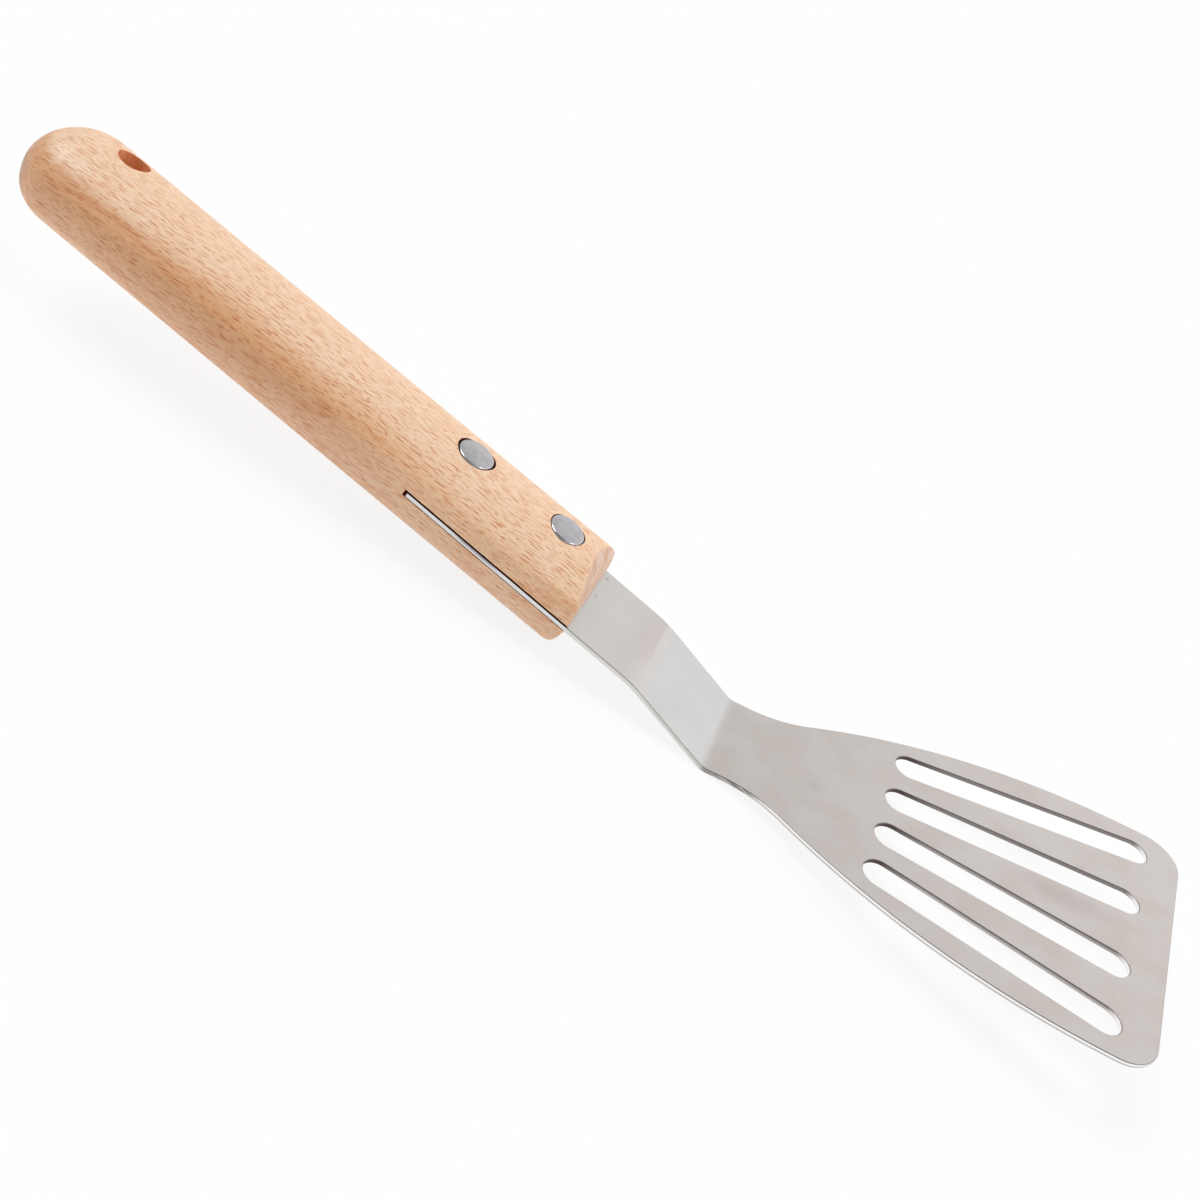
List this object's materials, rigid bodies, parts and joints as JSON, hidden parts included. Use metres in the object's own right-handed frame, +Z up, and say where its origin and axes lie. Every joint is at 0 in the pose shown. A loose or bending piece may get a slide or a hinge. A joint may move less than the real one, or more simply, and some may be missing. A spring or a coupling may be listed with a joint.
{
  "type": "barbecue spatula",
  "caption": "Slotted stainless barbecue spatula with a slanted front edge, a cranked neck and a riveted beech handle that has a hanging hole",
  "frame": {"origin": "below the middle of the bounding box, at the height of the table the spatula lies on", "axes": "+X from the handle's butt to the blade, +Y to the side where the front edge reaches further out, +Z up; the spatula rests on the handle's front lip and on the heel of the blade"},
  "size_m": [0.3078, 0.078, 0.0374],
  "materials": {
    "beech": "pale beech, sanded, with short reddish flecks along the grain",
    "stainless": "satin warm grey, faintly mottled",
    "rivet": "satin grey, slightly darker than the blade"
  },
  "bodies": {
    "root": {"handle": "beech", "blade": "stainless", "front_rivet_tube": "rivet", "front_rivet_pin": "rivet", "rear_rivet_tube": "rivet", "rear_rivet_pin": "rivet"}
  },
  "joints": []
}
